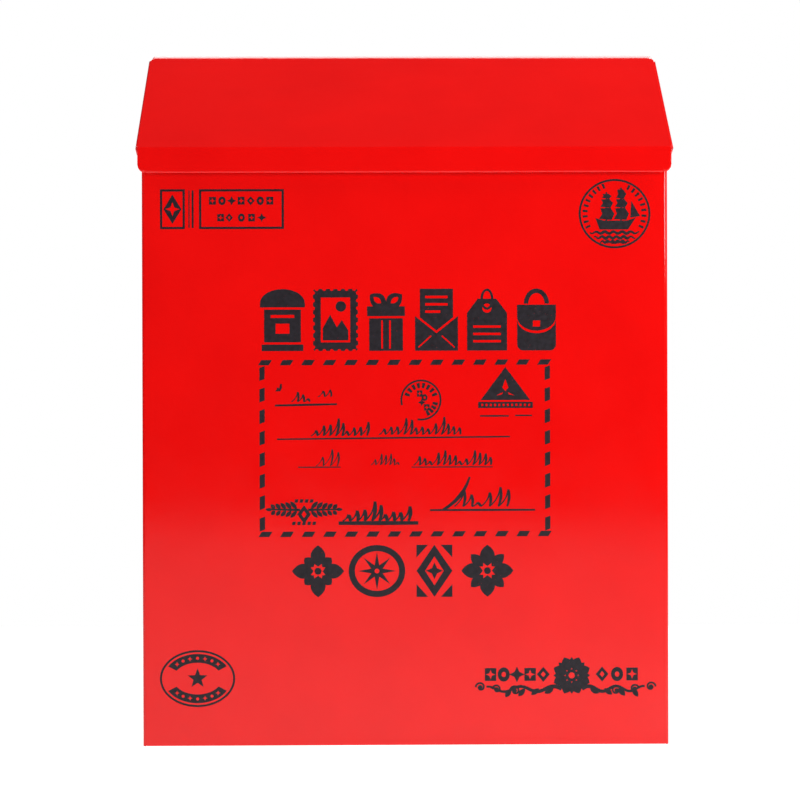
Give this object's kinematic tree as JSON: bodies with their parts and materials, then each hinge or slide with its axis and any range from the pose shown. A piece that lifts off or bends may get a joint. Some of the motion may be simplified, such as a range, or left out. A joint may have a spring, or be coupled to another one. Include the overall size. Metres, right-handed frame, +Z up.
{
  "type": "mailbox",
  "caption": "Wall-hung sheet-steel mailbox with a sloping hinged lid over a mail slot, keyholes in its back and a lockable door in its underside.",
  "frame": {"origin": "middle of the footprint, on the plane of the lower edge", "axes": "+Z up, -Y the front with the lid's lip, +Y towards the wall, +X to the right as seen from the front"},
  "size_m": [0.2644, 0.0834, 0.35],
  "materials": {
    "red_enamel": "gloss",
    "zinc_steel": "satin",
    "lock_chrome": "polished",
    "wafer_brass": "satin",
    "black_ink": "satin"
  },
  "bodies": {
    "root": {"body_shell": "red_enamel", "back_panel": "red_enamel", "slot_plate": "red_enamel", "door_stop_left": "red_enamel", "door_stop_right": "red_enamel", "door_stop_front": "red_enamel", "lock_catch": "zinc_steel", "lid_hinge_fixed_leaf": "zinc_steel", "lid_hinge_pin": "zinc_steel", "door_hinge_fixed_leaf": "zinc_steel", "door_hinge_pin": "zinc_steel"},
    "lid": {"lid_cover": "red_enamel", "lid_hinge_moving_leaf": "zinc_steel"},
    "door": {"bottom_door": "red_enamel", "door_hinge_moving_leaf": "zinc_steel", "lock_housing": "lock_chrome", "lock_washer": "zinc_steel", "lock_nut": "zinc_steel"},
    "lock": {"lock_plug": "lock_chrome", "lock_cam": "zinc_steel", "cam_washer": "zinc_steel", "cam_screw": "zinc_steel", "lock_wafer_1": "wafer_brass", "lock_wafer_2": "wafer_brass", "lock_wafer_3": "wafer_brass", "lock_wafer_4": "wafer_brass"}
  },
  "joints": [
    {"name": "lid_hinge", "type": "hinge", "parent": "root", "child": "lid", "pos_m": [0, 0.0387, 0.34715], "axis": [-1, 0, 0], "range_deg": [0, 120]},
    {"name": "door_hinge", "type": "hinge", "parent": "root", "child": "door", "pos_m": [0, 0.0387, 0.00735], "axis": [1, 0, 0], "range_deg": [0, 85]},
    {"name": "lock_turn", "type": "hinge", "parent": "door", "child": "lock", "pos_m": [0, -0.0143, 0.004], "axis": [0, 0, -1], "range_deg": [0, 90]}
  ]
}
